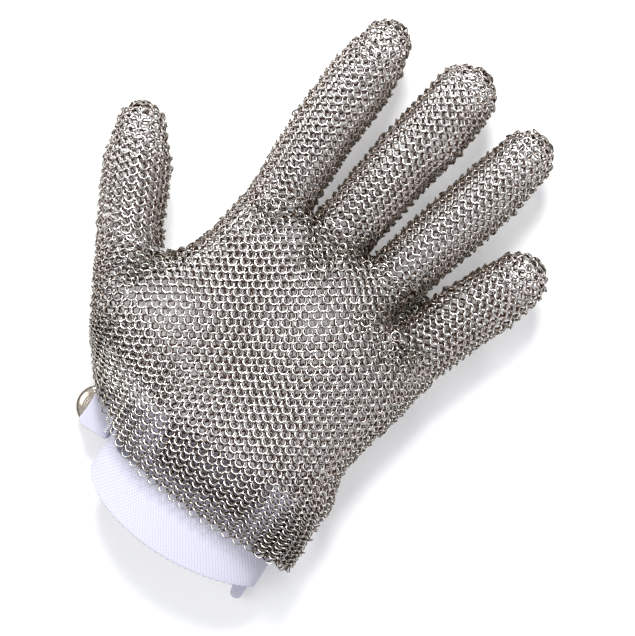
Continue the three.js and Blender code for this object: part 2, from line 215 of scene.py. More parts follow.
class Surface:
    """The glove's middle surface. Heights are stored squared, which is smooth up to the outline."""

    def __init__(self):
        gx, gy = grid_points()
        height = DEPTH_SCALE * np.sqrt(filled_hand())
        fleshy = 1 + sum(bump(gx, gy, *spot) for spot in FLESH)
        self.front = (height * fleshy) ** 2
        flat = (np.maximum(height, 1e-3) ** -8.0 + REST_DEPTH ** -8.0) ** (-1 / 8)
        reach = np.abs(gx - BAND["x"])
        inside_band = (BAND["b"] - BAND["thick"]) * np.sqrt(
            np.maximum(0, 1 - (reach / (BAND["a"] - BAND["thick"])) ** 2)) - 2.4
        shallow = np.minimum(flat, np.maximum(0.5, inside_band))
        taper = (1 - smoothstep(31, 47, gy)) * (1 - smoothstep(25, 34, reach))
        self.back = (flat + (shallow - flat) * taper) ** 2
        self.slopes = {1: np.gradient(self.front, CELL), -1: np.gradient(self.back, CELL)}

    @staticmethod
    def _sample(grid, x, y):
        u = np.clip((np.asarray(x) - GRID_LOW[0]) / CELL, 0, GRID_SIZE[0] - 1.001)
        v = np.clip((np.asarray(y) - GRID_LOW[1]) / CELL, 0, GRID_SIZE[1] - 1.001)
        i, j = u.astype(int), v.astype(int)
        a, b = u - i, v - j
        return ((grid[i, j] * (1 - a) + grid[i + 1, j] * a) * (1 - b)
                + (grid[i, j + 1] * (1 - a) + grid[i + 1, j + 1] * a) * b)

    def height(self, x, y, side):
        return np.sqrt(np.maximum(self._sample(self.front if side > 0 else self.back, x, y), 0))

    def normal(self, x, y, z, side):
        gx, gy = self.slopes[side]
        n = np.stack([-self._sample(gx, x, y), -self._sample(gy, x, y), 2 * np.asarray(z)], -1)
        return unit(n)


surface = Surface()

# ---- ring rows on the palm and back

# Bunched mesh where digits meet, with painted shade in the crease: two ends of each crease and how far
# it spreads.
CREASES = [((-21, 111), (-14, 102), 4.0), ((-21, 110.5), (-36, 99), 3.2),
           ((3.5, 110), (-12, 98), 4.8), ((26, 106), (15.5, 89.5), 4.8),
           ((-54, 73), (-62, 61), 4.5), ((33, 88), (26, 82), 3.5)]
CREASE_DRAW = 0.32     # share of its distance that a ring is drawn towards a crease
CREASE_SINK = 0.8

EVEN_STEP = 1.575      # row spacing at which the rings lie easy
ROW_STEPS = [(3, 1.08), (12, 1.16), (22, 1.40), (34, 1.52), (46, 1.57), (60, 1.52), (82, 1.58),
             (100, 1.58), (109, 1.36)]
RING_PITCH = [(3, 4.35), (20, 4.3), (45, 4.1), (70, 3.95), (85, 3.78), (110, 3.7)]
WRIST_ROW = 3.0
THUMB_ROW = 66.2       # the thumb leaves the palm here
LITTLE_ROW = 99.5
FINGER_ROW = 109.2
ANCHOR_X = -8.0        # rows are counted from this line both ways
ROW_FALL = 0.17        # rows fall towards the little finger
EASE_RINGS = 5         # rings by each side edge that are moved to close the row
TIGHT_GAP = 0.62       # a closing gap under this share of the pitch loses a ring
EDGE_HEIGHT = 0.02     # a side edge is where the surface comes down to this height
OPEN_HEIGHT = 3.0      # a row's end that stands higher than this is a free edge
NUDGE = 0.3            # how far ahead a row is looked along for its direction
LEAN = {0: 20.0, 1: 26.0}  # degrees, for alternate rows
SQUEEZE_LEAN = 46.0    # more lean where the rows are bunched
THUMB_SIDE = -57.0     # palm rows beyond the thumb's root end here
RING_SIDE = 24.5       # and beyond the little finger's root, here
# The flap on the little-finger side: it is open below row 30, and lifts off the band past x 24.
FLAP = {"rows": 30, "edge": 38.6, "lift": 6.5, "from": 24, "to": 38, "fade": 34}

# How far the mesh's lower edge stands above the falling row: it climbs on the thumb side.
CUFF_RISE = [(-62, 20.5), (-54.6, 14.8), (-48.6, 9.4), (-44.5, 7.6), (-39.8, 6.2), (-34.5, 3.0),
             (-30, 1.5), (-24.8, 0.7), (-20, 0.6), (-12, 1.2), (2, 2.2), (24, 2.2), (38.7, 3.3)]
# The flap is doubled under: from where, up to which row, and how far below.
HEM = {"x": 25.0, "rows": 34, "drop": (0.9, 0.0, 3.0)}
# Lower edge of the back: a tongue between two slits, which passes inside the wrist band.
BACK_EDGE = [(-60, 24.5), (-23.5, 24.5), (-22.5, 7), (17.5, 7), (18.5, 24.5), (39, 24.5)]


def row_y(row, x):
    """Where a row runs across the hand."""
    x = np.asarray(x, float)
    y = row - ROW_FALL * (np.minimum(x, 0) - ANCHOR_X)
    y = y - ROW_FALL * np.maximum(x, 0) * smoothstep(2, 46, row)
    y = y - 0.004 * np.maximum(0, x - 8) ** 2 * smoothstep(72, 100, row)
    y = y - 0.006 * np.maximum(0, -40 - x) ** 2 * smoothstep(25, 62, row)
    return y + table(CUFF_RISE, x) * (1 - smoothstep(WRIST_ROW - 6, 34, row))


pieces = {}


def collect(name, centre, along, normal, lean):
    if len(centre):
        pieces.setdefault(name, []).append((centre, along, normal, lean))


def walk(points):
    steps = np.linalg.norm(np.diff(points, axis=0), axis=1)
    return np.concatenate([[0], np.cumsum(steps)])


def at_lengths(points, lengths, wanted):
    return np.stack([np.interp(wanted, lengths, points[:, k]) for k in range(3)], -1)


def directions(points, lengths, wanted):
    ahead = at_lengths(points, lengths, wanted + NUDGE)
    return unit(ahead - at_lengths(points, lengths, wanted - NUDGE))


def span_around(inside, middle):
    """The unbroken stretch of inside points that holds the middle one."""
    first = last = middle
    while first > 0 and inside[first - 1]:
        first -= 1
    while last < len(inside) - 1 and inside[last + 1]:
        last += 1
    return first, last


def lean_for(spacing, parity):
    """Rings lie flatter where the rows are drawn apart and stand up where they are bunched."""
    squeeze = np.clip(1 - spacing / EVEN_STEP, -0.15, 0.8)
    angle = LEAN[parity] + SQUEEZE_LEAN * squeeze
    return np.radians(np.where(parity, angle, -angle))


class PalmRow:
    """One row on one side of the hand, from the anchor line out to both edges."""

    def __init__(self, row, parity, side):
        xs = np.arange(-100, 62, 0.15)
        ys = row_y(row, xs)
        heights = surface.height(xs, ys, side)
        inside = heights > EDGE_HEIGHT
        if side < 0:
            inside &= ys > table(BACK_EDGE, xs)
        if row > THUMB_ROW:
            inside &= xs > THUMB_SIDE
        if row > LITTLE_ROW:
            inside &= xs < RING_SIDE
        if row < FLAP["rows"]:
            inside &= xs < FLAP["edge"]
        first, last = span_around(inside, int(np.argmin(np.abs(xs - ANCHOR_X))))
        keep = slice(first, last + 1)
        z = side * heights[keep]
        if side > 0:
            risen = smoothstep(FLAP["from"], FLAP["to"], xs[keep])
            z = z + FLAP["lift"] * (1 - smoothstep(WRIST_ROW, FLAP["fade"], row)) * risen
        self.open = {-1: heights[first] > OPEN_HEIGHT,
                     1: heights[last] > OPEN_HEIGHT or row < FLAP["rows"]}
        self.points = np.stack([xs[keep], ys[keep], z], -1)
        self.lengths = walk(self.points)
        self.anchor = np.interp(ANCHOR_X, self.points[:, 0], self.lengths)
        self.pitch = table(RING_PITCH, row)
        offset = 0.5 * self.pitch * parity
        low = math.ceil((0.2 - self.anchor - offset) / self.pitch)
        high = math.floor((self.lengths[-1] - 0.2 - self.anchor - offset) / self.pitch)
        self.places = self.anchor + offset + self.pitch * np.arange(low, high + 1)

    def gap(self, end):
        return self.places[0] if end < 0 else self.lengths[-1] - self.places[-1]


def close_row(front, back, end):
    """Moves the last back rings so that the row closes round the side edge."""
    pitch = front.pitch
    gap = front.gap(end) + back.gap(end)
    if gap < TIGHT_GAP * pitch:
        back.places = back.places[1:] if end < 0 else back.places[:-1]
        gap += pitch
    excess = gap - pitch
    for j in range(EASE_RINGS):
        index = j if end < 0 else -1 - j
        back.places[index] += end * excess * (EASE_RINGS - j) / (EASE_RINGS + 1)


def palm_rows():
    rows = [WRIST_ROW]
    while rows[-1] < FINGER_ROW:
        rows.append(rows[-1] + table(ROW_STEPS, rows[-1]))
    return rows


PALM_ROWS = palm_rows()


def lay_palm():
    for k, row in enumerate(PALM_ROWS):
        parity = k % 2
        front, back = PalmRow(row, parity, 1), PalmRow(row, parity, -1)
        for end in (-1, 1):
            if not (front.open[end] or back.open[end]):
                close_row(front, back, end)
        step = table(ROW_STEPS, row) / 2
        for side, strip in ((1, front), (-1, back)):
            centre = at_lengths(strip.points, strip.lengths, strip.places)
            along = directions(strip.points, strip.lengths, strip.places)
            z = centre[:, 2]
            normal = surface.normal(centre[:, 0], centre[:, 1], z, side)
            spacing = row_y(row + step, centre[:, 0]) - row_y(row - step, centre[:, 0])
            name = ("palm" if row < THUMB_ROW else "knuckle") + ("_front" if side > 0 else "_back")
            lean = lean_for(spacing, parity)
            collect(name, centre, along, normal, lean)
            if side > 0 and row < HEM["rows"]:
                under = centre[:, 0] > HEM["x"] + 0.15 * row
                collect(name, centre[under] - HEM["drop"], along[under], -normal[under], lean[under])


# ---- fingers and thumb

# Where each digit starts and from which palm row, its rows' slant from square at the root and
# further on, the rings in a row, and how far along its second mesh begins.
DIGIT_ROWS = {
    "index": ((-33.3, 113.4), FINGER_ROW, (-0.17, -0.13), 17, 18.5),
    "middle": ((-8.3, 109.4), FINGER_ROW, (-0.02, 0.05), 17, 20.5),
    "ring": ((14.6, 105.2), FINGER_ROW, (0.0, -0.07), 17, 21.0),
    "little": ((34.2, 89.6), LITTLE_ROW, (0.02, -0.08), 17, 20.0),
    "thumb": ((-69.3, 71.4), THUMB_ROW, (-0.34, -0.2), 18, 13.0),
}
DIGIT_STEPS = [(0.0, 1.34), (0.25, 1.44), (0.6, 1.56), (1.0, 1.68)]
TIP_ROWS = (0.82, 0.42, 0.03)   # size of the closing rows at a digit's end
TIP_PITCH = 3.5
TIGHT_PITCH = 3.62     # columns closer than this are laid afresh at SPARE_PITCH
SPARE_PITCH = 3.85
ROW_END = 0.9          # the last full row stays this far from the tip, along the surface
SURE_SHARE = 0.86      # a ring below this share of the surface's height is left out,
SLIGHT_HEIGHT = 2.5    # unless the surface itself is this low
THUMB_RISE = 4.0       # the thumb's tip stands this much above the palm's middle plane


class Digit:
    """One finger or thumb, measured along its centre line from the row where it leaves the palm."""

    def __init__(self, name):
        start, self.palm_row, self.slants, self.count, self.swap = DIGIT_ROWS[name]
        self.line = np.array(DIGITS[name], float)
        xy = self.smooth_line()
        lengths = walk(xy)
        begin = lengths[int(np.argmin(np.hypot(xy[:, 0] - start[0], xy[:, 1] - start[1])))]
        self.xy, self.lengths = xy, lengths - begin
        self.tip = self.lengths[-1] + self.line[-1, 2] - RING_HALF

    def smooth_line(self):
        p = self.line[:, :2]
        ends = np.vstack([2 * p[0] - p[1], p, 2 * p[-1] - p[-2]])
        out = []
        for a, b, c, d in zip(ends, ends[1:], ends[2:], ends[3:]):
            for t in np.arange(0, 1, 0.02):
                out.append(0.5 * (2 * b + (c - a) * t + (2 * a - 5 * b + 4 * c - d) * t * t
                                  + (3 * b - a - 3 * c + d) * t ** 3))
        out.append(p[-1])
        return np.array(out)

    def at(self, t):
        """Centre and direction at distance t; past the last point it goes straight on."""
        inside = min(t, self.lengths[-1])
        centre = np.array([np.interp(inside, self.lengths, self.xy[:, k]) for k in (0, 1)])
        behind = np.array([np.interp(inside - 1.0, self.lengths, self.xy[:, k]) for k in (0, 1)])
        along = (centre - behind) / np.linalg.norm(centre - behind)
        return centre + along * (t - inside), along

    def slant(self, t):
        root, further = self.slants
        part = np.clip(t / self.tip, 0, 1)
        return (root + (further - root) * min(1, 2 * part)) * (1 - smoothstep(0.62, 0.95, part))

    def section(self, t):
        """Closed loop of points round the digit."""
        centre, along = self.at(t)
        across = np.array([along[1], -along[0]]) + along * self.slant(t)
        reach = np.arange(-15.0, 15.001, 0.1)
        x = centre[0] + across[0] * reach
        y = centre[1] + across[1] * reach
        front = surface.height(x, y, 1)
        back = surface.height(x, y, -1)
        limit = np.interp(t, [0, 6], [11.6, 15.0])
        ok = (front > EDGE_HEIGHT) & (np.abs(reach) < limit)
        mid = len(reach) // 2
        if not ok[mid]:
            return None
        first, last = span_around(ok, mid)
        s = slice(first, last + 1)
        top = np.stack([x[s], y[s], front[s]], -1)
        bottom = np.stack([x[s], y[s], -back[s]], -1)[::-1]
        loop = np.vstack([top, bottom, top[:1]])
        lengths = walk(loop)
        return loop, lengths, lengths[mid - first], len(top)


def palm_shift(digit, k):
    """How far the palm's ring columns lie from the digit's middle, so its columns run on."""
    last = PalmRow(PALM_ROWS[k], 0, 1)
    here = np.interp(digit.at(0)[0][0], last.points[:, 0], last.lengths)
    offset = (last.anchor - here) / last.pitch
    return offset - round(offset)


def close_tip(digit, name, k):
    """The last small rows, which close the blunt end of a digit."""
    loop, lengths, _, _ = digit.section(digit.tip - 0.6)
    middle = loop.mean(0)
    ahead = np.append(digit.at(digit.tip)[1], 0.0)
    for scale in TIP_ROWS:
        k += 1
        total = lengths[-1] * scale
        columns = max(1, round(total / TIP_PITCH))
        places = (np.arange(columns) + 0.5 * (k % 2)) / columns * lengths[-1] % lengths[-1]
        edge = at_lengths(loop, lengths, places)
        along = unit(at_lengths(loop, lengths, (places + NUDGE) % lengths[-1]) - edge)
        normal = ahead + 0.6 * scale * (edge - middle) / 5
        centre = middle + scale * (edge - middle) + ahead * (0.5 + 0.7 * (1 - scale))
        if name == "thumb":
            centre = centre + np.array([0, 0, THUMB_RISE])
        collect(f"{name}_end", centre, along, normal, lean_for(np.full(columns, 1.4), k % 2))


def lay_digit(name):
    digit = Digit(name)
    last = max(k for k, row in enumerate(PALM_ROWS) if row <= digit.palm_row + 0.01)
    shift = palm_shift(digit, last)
    ts = np.arange(-1.0, digit.tip, 0.05)
    centres = np.array([digit.at(t)[0] for t in ts])
    ridge = surface.height(centres[:, 0], centres[:, 1], 1)
    meridian = walk(np.stack([ts, ridge, 0 * ts], -1))
    place = np.interp(0.5, ts, meridian)
    k = last
    while place < meridian[-1] - ROW_END:
        k += 1
        t = float(np.interp(place, meridian, ts))
        step = table(DIGIT_STEPS, t / digit.tip)
        place += step
        found = digit.section(t)
        if found is None:
            continue
        loop, lengths, front_middle, n_top = found
        total = lengths[-1]
        columns = digit.count
        if total / columns < TIGHT_PITCH:
            columns = max(3, round(total / SPARE_PITCH))
        pitch = total / columns
        parity = k % 2
        places = (front_middle + (shift + 0.5 * parity + np.arange(columns)) * pitch) % total
        centre = at_lengths(loop, lengths, places)
        ahead = at_lengths(loop, lengths, (places + NUDGE) % total)
        along = unit(ahead - at_lengths(loop, lengths, (places - NUDGE) % total))
        side_normals = [surface.normal(centre[:, 0], centre[:, 1], centre[:, 2], s) for s in (-1, 1)]
        on_back = places > lengths[n_top - 1]
        normal = np.where(on_back[:, None], side_normals[0], side_normals[1])
        skin = surface.height(centre[:, 0], centre[:, 1], 1)
        keep = (np.abs(centre[:, 2]) > SURE_SHARE * skin) | (skin < SLIGHT_HEIGHT)
        if name == "thumb":
            centre = centre + np.array([0, 0, THUMB_RISE]) * max(0, t) / digit.tip
        part = f"{name}_base" if t < digit.swap else f"{name}_end"
        lean = lean_for(np.full(len(centre), step), parity)
        collect(part, centre[keep], along[keep], normal[keep], lean[keep])
    close_tip(digit, name, k)


lay_palm()
for finger in DIGITS:
    lay_digit(finger)

# ---- meshes


def mesh_from(name, points, faces, smooth=True):
    mesh = bpy.data.meshes.new(name)
    faces = np.asarray(faces)
    mesh.vertices.add(len(points))
    mesh.vertices.foreach_set("co", np.asarray(points, np.float32).ravel())
    mesh.loops.add(faces.size)
    mesh.loops.foreach_set("vertex_index", faces.astype(np.int32).ravel())
    mesh.polygons.add(len(faces))
    mesh.polygons.foreach_set("loop_start", np.arange(0, faces.size, faces.shape[1], dtype=np.int32))
    mesh.polygons.foreach_set("use_smooth", np.full(len(faces), smooth))
    mesh.update(calc_edges=True)
    return add_object(name, mesh)


def set_float(obj, name, values):
    attribute = obj.data.attributes.new(name, "FLOAT", "POINT")
    attribute.data.foreach_set("value", np.asarray(values, np.float32).ravel())


def set_bake_map(obj, corners):
    layer = obj.data.uv_layers.new(name="OFBake")
    layer.data.foreach_set("uv", np.asarray(corners, np.float32).ravel())


# ---- materials


def new_material(name):
    material = bpy.data.materials.new(name)
    material.use_nodes = True
    nodes = material.node_tree.nodes
    return material, nodes, material.node_tree.links, nodes["Principled BSDF"]


def set_inputs(node, values):
    for name, value in values.items():
        node.inputs[name].default_value = value


def noise_node(nodes, links, scale, detail=3.0):
    coords = nodes.new("ShaderNodeTexCoord")
    noise = nodes.new("ShaderNodeTexNoise")
    set_inputs(noise, {"Scale": scale, "Detail": detail})
    links.new(coords.outputs["Object"], noise.inputs["Vector"])
    return noise


def set_ends(ramp, first, last):
    for index, (position, colour) in ((0, first), (-1, last)):
        point = ramp.color_ramp.elements[index]
        point.position, point.color = position, (*colour, 1)


def shaded_ramp(nodes, links, attribute, noise, share, stops):
    """Colour ramp over a mesh attribute with a little noise added."""
    value = nodes.new("ShaderNodeAttribute")
    value.attribute_name = attribute
    mix = nodes.new("ShaderNodeMath")
    mix.operation = "MULTIPLY_ADD"
    mix.inputs[1].default_value = share
    links.new(noise.outputs["Fac"], mix.inputs[0])
    links.new(value.outputs["Fac"], mix.inputs[2])
    ramp = nodes.new("ShaderNodeValToRGB")
    for position, colour in stops[1:-1]:
        ramp.color_ramp.elements.new(position).color = (*colour, 1)
    set_ends(ramp, stops[0], stops[-1])
    links.new(mix.outputs["Value"], ramp.inputs["Fac"])
    return ramp


def set_rough(nodes, links, source, low, high, span=(0.0, 1.0)):
    """Roughness falls from high to low as the source rises through the span."""
    rough = nodes.new("ShaderNodeMapRange")
    set_inputs(rough, {"From Min": span[0], "From Max": span[1], "To Min": high, "To Max": low})
    links.new(source, rough.inputs["Value"])
    links.new(rough.outputs["Result"], nodes["Principled BSDF"].inputs["Roughness"])


def ring_steel():
    """Bright wire with painted shade: a warm dark brown where it faces the inside of the glove or lies
    deep in the weave, and rougher there.
    """
    material, nodes, links, shader = new_material("ring_steel")
    shader.inputs["Metallic"].default_value = 1.0
    noise = noise_node(nodes, links, 900.0)
    # Painted shade over the outward attribute: dark warm brown towards the inside, bright steel on the
    # outside.
    ramp = shaded_ramp(nodes, links, "outward", noise, 0.16, [
        (0.5, (0.15, 0.086, 0.064)), (0.78, (0.40, 0.31, 0.26)), (0.98, (0.98, 0.965, 0.94))])
    painted_shade_and_tone = nodes.new("ShaderNodeAttribute")
    painted_shade_and_tone.attribute_name = "painted_shade_and_tone"
    shade_multiply = nodes.new("ShaderNodeMix")
    shade_multiply.data_type = "RGBA"
    shade_multiply.blend_type = "MULTIPLY"
    a, b = (socket for socket in shade_multiply.inputs if socket.type == "RGBA")
    # Colour of the painted shade, multiplied into the steel as the attribute rises.
    b.default_value = (0.40, 0.385, 0.335, 1)
    links.new(painted_shade_and_tone.outputs["Fac"], shade_multiply.inputs["Factor"])
    links.new(ramp.outputs["Color"], a)
    colour = next(socket for socket in shade_multiply.outputs if socket.type == "RGBA")
    links.new(colour, shader.inputs["Base Color"])
    set_rough(nodes, links, ramp.inputs["Fac"].links[0].from_socket, 0.24, 0.6, (0.35, 0.95))
    return material


def cloth(name, grain, share, stops, rough):
    """Fabric coloured by its own relief: painted shade, darker where the relief is low."""
    material, nodes, links, shader = new_material(name)
    noise = noise_node(nodes, links, grain)
    ramp = shaded_ramp(nodes, links, "relief", noise, share, stops)
    links.new(ramp.outputs["Color"], shader.inputs["Base Color"])
    set_rough(nodes, links, noise.outputs["Fac"], *rough)
    return material, nodes, links, noise


def webbing():
    """White polyester webbing, with painted shade in a lavender tone in the hollows of its weave."""
    material, nodes, links, noise = cloth("white_webbing", 2600.0, 0.35, [
        (0.1, (0.34, 0.34, 0.47)), (0.55, (0.53, 0.53, 0.645)), (1.05, (0.64, 0.64, 0.72))],
        (0.75, 0.95))
    shader = nodes["Principled BSDF"]
    bump_node = nodes.new("ShaderNodeBump")
    set_inputs(bump_node, {"Strength": 0.25, "Distance": 0.00008})
    links.new(noise.outputs["Fac"], bump_node.inputs["Height"])
    links.new(bump_node.outputs["Normal"], shader.inputs["Normal"])
    shader.inputs["Sheen Weight"].default_value = 0.15
    return material


def snap_metal():
    """Polished plated brass with faint spinning marks."""
    material, nodes, links, shader = new_material("snap_metal")
    shader.inputs["Metallic"].default_value = 1.0
    noise = noise_node(nodes, links, 700.0, 4.0)
    ramp = nodes.new("ShaderNodeValToRGB")
    set_ends(ramp, (0.3, (0.36, 0.31, 0.25)), (0.72, (0.57, 0.51, 0.43)))
    links.new(noise.outputs["Fac"], ramp.inputs["Fac"])
    links.new(ramp.outputs["Color"], shader.inputs["Base Color"])
    set_rough(nodes, links, noise.outputs["Fac"], 0.1, 0.18)
    return material


def thread():
    """Off-white sewing thread, with painted shade: darker on the lower side of each thread leg."""
    return cloth("sewing_thread", 3000.0, 0.3, [
        (0.1, (0.55, 0.54, 0.66)), (0.5, (0.76, 0.76, 0.86)), (1.0, (0.92, 0.92, 0.96))],
        (0.5, 0.7))[0]


steel, fabric, plated, cotton = ring_steel(), webbing(), snap_metal(), thread()

# ---- rings to meshes

WIRE = 0.26            # wire radius
RING_RADIUS = 1.63     # to the middle of the wire
ROUND = 14             # segments round a ring
SECTION = 5            # segments round its wire
WELD_SWELL = 0.2       # the weld bead stands this much proud of the wire


def ring_template():
    """Ring points and wire normals in the ring's plane, faces, and a flat map of each corner."""
    turn, tube = circle(ROUND), circle(SECTION)
    swell = np.where(np.arange(ROUND) == 0, 1 + WELD_SWELL, 1.0)
    r = RING_RADIUS + WIRE * swell[:, None] * np.cos(tube)[None, :]
    z = WIRE * swell[:, None] * np.sin(tube)[None, :]
    points = np.stack([r * np.cos(turn)[:, None], r * np.sin(turn)[:, None], z], -1).reshape(-1, 3)
    facing = np.stack([np.cos(turn)[:, None] * np.cos(tube), np.sin(turn)[:, None] * np.cos(tube),
                       np.ones((ROUND, 1)) * np.sin(tube)], -1).reshape(-1, 3)
    faces, corners = [], []
    for i in range(ROUND):
        for j in range(SECTION):
            i2, j2 = (i + 1) % ROUND, (j + 1) % SECTION
            faces.append((i * SECTION + j, i2 * SECTION + j, i2 * SECTION + j2, i * SECTION + j2))
            corners.append([(i / ROUND, j / SECTION), ((i + 1) / ROUND, j / SECTION),
                            ((i + 1) / ROUND, (j + 1) / SECTION), (i / ROUND, (j + 1) / SECTION)])
    return points, facing, np.array(faces), np.array(corners).reshape(-1, 2)


TEMPLATE, TEMPLATE_FACING, TEMPLATE_FACES, TEMPLATE_CORNERS = ring_template()


def creases_at(centre):
    """How far the mesh is bunched between the digits, 0 to 1, and how far that draws a ring in."""
    bunched, drawn = np.zeros(len(centre)), np.zeros((len(centre), 3))
    for start, end, spread in CREASES:
        start, run = np.array(start, float), np.array(end, float) - start
        part = np.clip((centre[:, :2] - start) @ run / (run @ run), 0, 1)
        off = centre[:, :2] - start - part[:, None] * run
        near = (1 - 0.35 * part) * np.exp(-np.sum(off ** 2, axis=1) / (2 * spread ** 2))
        drawn[:, :2] -= CREASE_DRAW * near[:, None] * off
        bunched = np.maximum(bunched, near)
    return bunched, drawn


def painted_shade_and_tone_at(centre, normal):
    """Painted shade: rings are darker at the sides, where the surface turns away from above, and in the
    creases between the digits; they are also darker towards the cuff, with a little random tone.
    """
    sides = 1 - smoothstep(0.05, 0.75, np.abs(normal[:, 2]))
    x, y = centre[:, 0], centre[:, 1]
    cuff = 1 - smoothstep(3, 24, y - 0.9 * np.maximum(0, -24 - x) - 0.35 * np.maximum(0, x - 12))
    return np.clip(np.maximum(np.maximum(sides, 0.75 * cuff), creases_at(centre)[0])
                   + rng.normal(0, 0.05, len(centre)), 0, 1)


def ring_piece(name, rings):
    """One mesh of many rings, each turned to lie in the weave."""
    centre, along, normal, lean = (np.concatenate(a) for a in zip(*rings))
    n = len(centre)
    crumple, drawn = creases_at(centre)
    lean = lean + np.radians(rng.normal(0, 1, n) * (2.2 + 17 * crumple))
    centre = centre + drawn - CREASE_SINK * crumple[:, None] * normal
    centre = centre + rng.normal(0, 1, (n, 3)) * (0.06 + 0.26 * crumple)[:, None]
    normal = unit(normal - along * np.sum(normal * along, axis=1, keepdims=True))
    across = np.cross(normal, along)
    tip = np.radians(rng.normal(0, 1, n) * (2.5 + 19 * crumple))
    e1 = along * np.cos(tip)[:, None] + normal * np.sin(tip)[:, None]
    n1 = np.cross(e1, across)
    e2 = across * np.cos(lean)[:, None] + n1 * np.sin(lean)[:, None]
    e3 = np.cross(e1, e2)
    spin = rng.uniform(0, 2 * math.pi, n)
    c, s = np.cos(spin)[:, None, None], np.sin(spin)[:, None, None]

    def turned(local):
        x, y, z = local[None, :, 0:1], local[None, :, 1:2], local[None, :, 2:3]
        return (x * c - y * s) * e1[:, None] + (x * s + y * c) * e2[:, None] + z * e3[:, None]

    offset = turned(TEMPLATE)
    faces = TEMPLATE_FACES[None] + (np.arange(n) * len(TEMPLATE))[:, None, None]
    obj = mesh_from(name, to_frame((centre[:, None] + offset).reshape(-1, 3)), faces.reshape(-1, 4))
    obj.data.materials.append(steel)
    depth = np.sum(offset * normal[:, None], -1) / (RING_RADIUS + WIRE)
    facing = np.sum(turned(TEMPLATE_FACING) * normal[:, None], -1)
    # Painted shade: the steel's colour darkens where the wire faces the inside of the glove or lies
    # deep in the sheet.
    set_float(obj, "outward", 0.46 + 0.46 * facing + 0.22 * depth)
    # Painted shade and random tone, which darken each whole ring.
    set_float(obj, "painted_shade_and_tone", np.repeat(painted_shade_and_tone_at(centre, normal), len(TEMPLATE)))
    cells = math.ceil(math.sqrt(n))
    corner = np.stack([np.arange(n) % cells, np.arange(n) // cells], -1)[:, None]
    set_bake_map(obj, ((corner + 0.06 + 0.88 * TEMPLATE_CORNERS[None]) / cells).reshape(-1, 2))
    return obj, to_frame(centre)


# ---- ring pieces; those of the palm and back go on the hand body

# Slack mesh bunched in the fork of the ring and little fingers: two ends, steps along, levels.
FORK = {"start": (24.0, 91.5), "end": (27.5, 106.2), "steps": 12, "levels": (-3.4, -1.4, 0.6, 2.6)}


def bunch_fork():
    levels = np.array(FORK["levels"])
    t = np.repeat(np.linspace(0, 1, FORK["steps"]), len(levels))
    start, end = np.array(FORK["start"]), np.array(FORK["end"])
    centre = np.column_stack([start + (end - start) * t[:, None],
                              np.tile(levels, FORK["steps"]) * (1 - 0.45 * t)])
    n = len(centre)
    centre += rng.normal(0, 1, (n, 3)) * (0.45, 0.3, 0.4)
    along = unit(np.tile([end[0] - start[0], end[1] - start[1], 0], (n, 1)))
    lean = np.radians(rng.normal(0, 34, n))
    collect("knuckle_front", centre, along, np.tile([0.0, 0.0, 1.0], (n, 1)), lean)


bunch_fork()

for key in ("palm_front", "palm_back", "knuckle_front", "knuckle_back"):
    obj, _ = ring_piece(f"{key}_rings", pieces[key])
    node = f"{key}_mesh"
    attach(obj, "hand")
    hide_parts(node)


def bend_rings(obj):
    """Bakes the object's placement into its mesh."""
    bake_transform(obj)


# A digit's two meshes: joint, metres of mesh on each side of it, and the nodes it stands for.
DIGIT_MESHES = {
    "base": ("base_bend", 0.0085, ("base_gusset", "base_mesh")),
    "end": ("knuckle_bend", 0.0095, ("knuckle_gusset", "tip_mesh")),
}
joints = {j["name"]: j for j in frame["joints"]}
for digit in DIGITS:
    for part, (joint, reach, nodes) in DIGIT_MESHES.items():
        body = f"{digit}_{part}"
        nodes = [f"{digit}_{node}" for node in nodes]
        obj, centres = ring_piece(f"{body}_rings", pieces[body])
        axis = np.array(joints[f"{digit}_{joint}"]["axis"])
        axis[2] = 0
        axis /= np.linalg.norm(axis)
        bend_rings(obj)
        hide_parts(*nodes)

# ---- webbing

STRAP = {"width": 15.0, "thick": 1.5, "clear": 0.4, "low": 5.5, "end": -51.0, "slope": 0.16}
LEAVE_ANGLE, END_ANGLE = math.radians(245), math.radians(318)
SNAP = {"x": -47.4, "y": 13.1, "cap": 7.6, "cap_height": 3.6, "socket": 6.2, "ball": 2.0, "hole": 2.35}
TAB = {"length": 11.2, "layer": 0.7, "space": 1.1, "root": 7.6, "gap": 2.5}
STRAP_END = (26.9, -2.9, -10.6)


def weave(u, v, cell_u, cell_v):
    """Raised thread crossings on two diagonals, 0 in the hollows to 1 on top."""
    a = np.abs(np.sin(math.pi * (u / cell_u + v / (2 * cell_v))))
    b = np.abs(np.sin(math.pi * (u / cell_u - v / (2 * cell_v))))
    return np.sqrt(a * b)


def edged(relief, border, low, high, level):
    """The weave fades to an even level towards the webbing's edge."""
    share = smoothstep(low, high, border)
    return relief * share + level * (1 - share)


def grid_faces(cur, nxt):
    return np.stack([cur[:, :-1], nxt[:, :-1], nxt[:, 1:], cur[:, 1:]], -1).reshape(-1, 4)


